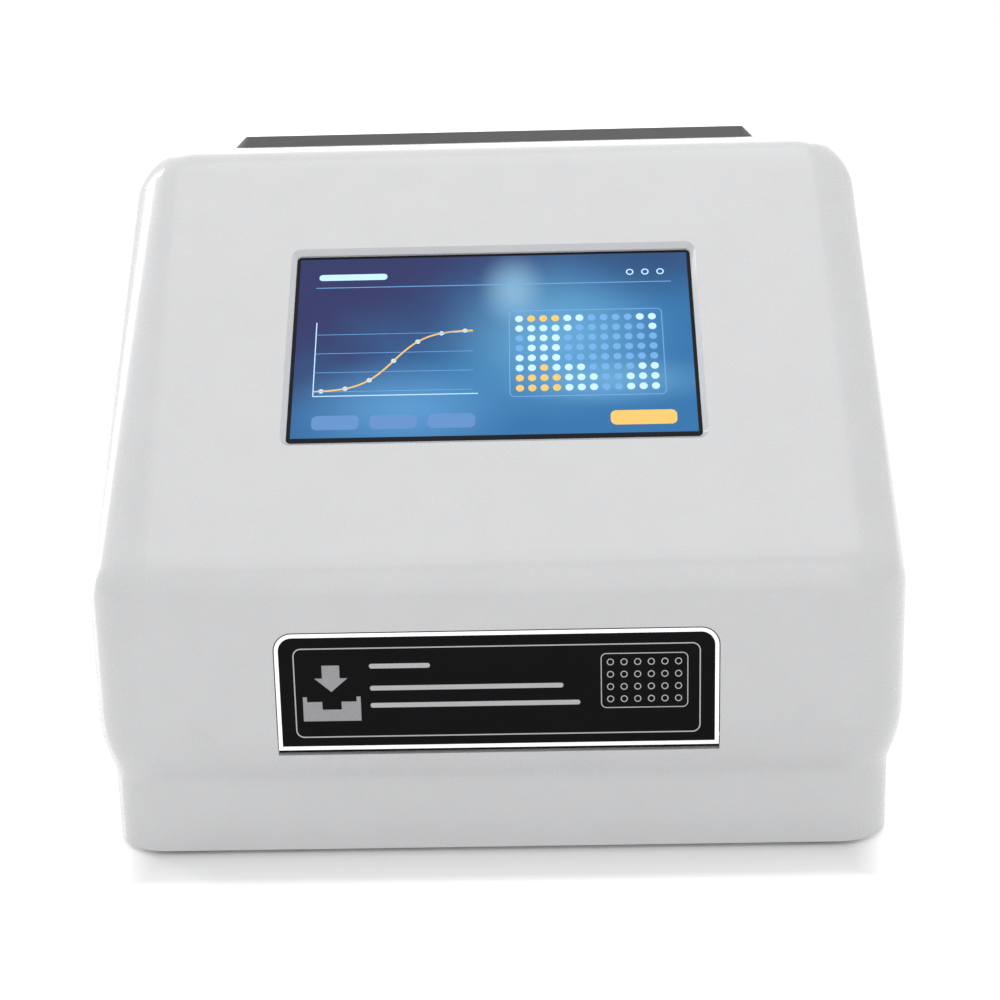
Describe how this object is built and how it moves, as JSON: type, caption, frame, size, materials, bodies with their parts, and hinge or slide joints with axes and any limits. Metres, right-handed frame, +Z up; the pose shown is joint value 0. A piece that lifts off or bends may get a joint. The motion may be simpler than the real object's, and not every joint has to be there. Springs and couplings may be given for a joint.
{
  "type": "microplate reader",
  "caption": "Bench microplate reader with a sloped touch display, a drop-down front flap and a motor-driven plate carrier that slides out through it.",
  "frame": {"origin": "on the floor under the middle of the housing's box", "axes": "+X to the right seen from the front, +Y to the back, +Z up; the plate door faces -Y"},
  "size_m": [0.302, 0.34, 0.2538],
  "materials": {
    "white_shell": "gloss",
    "cover_grey": "satin",
    "panel_grey": "satin",
    "sheet_steel": "satin",
    "aluminium": "satin",
    "ground_steel": "polished",
    "bronze": "satin",
    "black_plastic": "matte",
    "black_gloss": "gloss",
    "silver_trim": "polished",
    "tray_grey": "matte",
    "flap_white": "matte",
    "display_glass": "gloss",
    "display_panel": "gloss",
    "lens_glass": "gloss",
    "filter_glass": "gloss",
    "bulb_glass": "gloss",
    "ceramic": "matte",
    "rubber": "matte",
    "belt_rubber": "matte",
    "circuit_board": "satin",
    "chip_black": "matte",
    "motor_steel": "satin",
    "blackened": "matte",
    "connector_metal": "satin",
    "guide_sheath": "matte"
  },
  "bodies": {
    "chassis": {"top_cover": "white_shell", "base_plate": "sheet_steel", "rubber_feet": "rubber", "service_cover": "cover_grey", "display_glass": "display_glass", "lcd_module": "display_panel", "display_bracket": "sheet_steel", "display_board": "circuit_board", "door_frame": "black_plastic", "hinge_pins": "ground_steel", "guide_rods": "ground_steel", "rod_supports": "aluminium", "drive_belt": "belt_rubber", "stepper_motor": "motor_steel", "motor_bracket": "sheet_steel", "idler_bracket": "sheet_steel", "mechanism_plate": "aluminium", "mechanism_pillars": "aluminium", "optics_bridge": "blackened", "lens_barrels": "ground_steel", "detector_board": "circuit_board", "detector_block": "black_plastic", "home_sensor": "black_plastic", "upper_shelf": "sheet_steel", "shelf_posts": "aluminium", "wheel_motor": "motor_steel", "wheel_bracket": "sheet_steel", "fibre_collar": "black_plastic", "fibre_bundle": "guide_sheath", "lamp_house": "sheet_steel", "condenser_barrel": "blackened", "condenser_lens": "lens_glass", "lamp_socket": "ceramic", "lamp_bulb": "bulb_glass", "power_supply": "sheet_steel", "main_board": "circuit_board", "board_posts": "ground_steel", "board_chips": "chip_black", "rear_panel": "panel_grey", "fan_frame": "black_plastic", "power_inlet": "black_plastic", "switch_bezel": "black_plastic", "usb_port": "connector_metal", "serial_port": "connector_metal"},
    "carrier": {"plate_carrier": "tray_grey", "plate_spring": "ground_steel", "carriage": "aluminium", "slide_bushes": "bronze", "belt_clamp": "black_plastic"},
    "flap": {"flap_panel": "flap_white", "flap_rim": "silver_trim", "flap_label": "black_gloss"},
    "drive_wheel": {"drive_pulley": "aluminium", "motor_shaft": "ground_steel"},
    "idler_wheel": {"idler_pulley": "black_plastic"},
    "colour_wheel": {"filter_wheel": "blackened", "filter_discs": "filter_glass"},
    "fan": {"fan_rotor": "black_plastic"},
    "fuse": {"fuse_drawer": "black_plastic"},
    "rocker": {"switch_rocker": "black_gloss"}
  },
  "joints": [
    {"name": "carrier_slide", "type": "slide", "parent": "chassis", "child": "carrier", "axis": [0, -1, 0], "range_m": [0, 0.22]},
    {"name": "flap_hinge", "type": "hinge", "parent": "chassis", "child": "flap", "pos_m": [0, -0.1665, 0.0456], "axis": [1, 0, 0], "range_deg": [0, 105]},
    {"name": "drive_pulley_turn", "type": "hinge", "parent": "chassis", "child": "drive_wheel", "pos_m": [0.093, 0.127, 0.052], "axis": [1, 0, 0], "range_deg": [0, 1417]},
    {"name": "idler_pulley_turn", "type": "hinge", "parent": "chassis", "child": "idler_wheel", "pos_m": [0.093, -0.146, 0.052], "axis": [1, 0, 0], "range_deg": [0, 1417]},
    {"name": "filter_wheel_turn", "type": "hinge", "parent": "chassis", "child": "colour_wheel", "pos_m": [-0.016, 0.073, 0.16], "axis": [0, 1, 0], "continuous": true},
    {"name": "fan_turn", "type": "hinge", "parent": "chassis", "child": "fan", "pos_m": [-0.04, 0.157, 0.16], "axis": [0, 1, 0], "continuous": true},
    {"name": "fuse_drawer_slide", "type": "slide", "parent": "chassis", "child": "fuse", "axis": [0, 1, 0], "range_m": [0, 0.015]},
    {"name": "power_rocker", "type": "hinge", "parent": "chassis", "child": "rocker", "pos_m": [0.014, 0.1665, 0.08], "axis": [1, 0, 0], "range_deg": [0, 16]}
  ],
  "couplings": [
    {"joint": "flap_hinge", "follows": "carrier_slide", "rad_per_m": 8.3299},
    {"joint": "drive_pulley_turn", "follows": "carrier_slide", "rad_per_m": 112.36},
    {"joint": "idler_pulley_turn", "follows": "carrier_slide", "rad_per_m": 112.36}
  ]
}
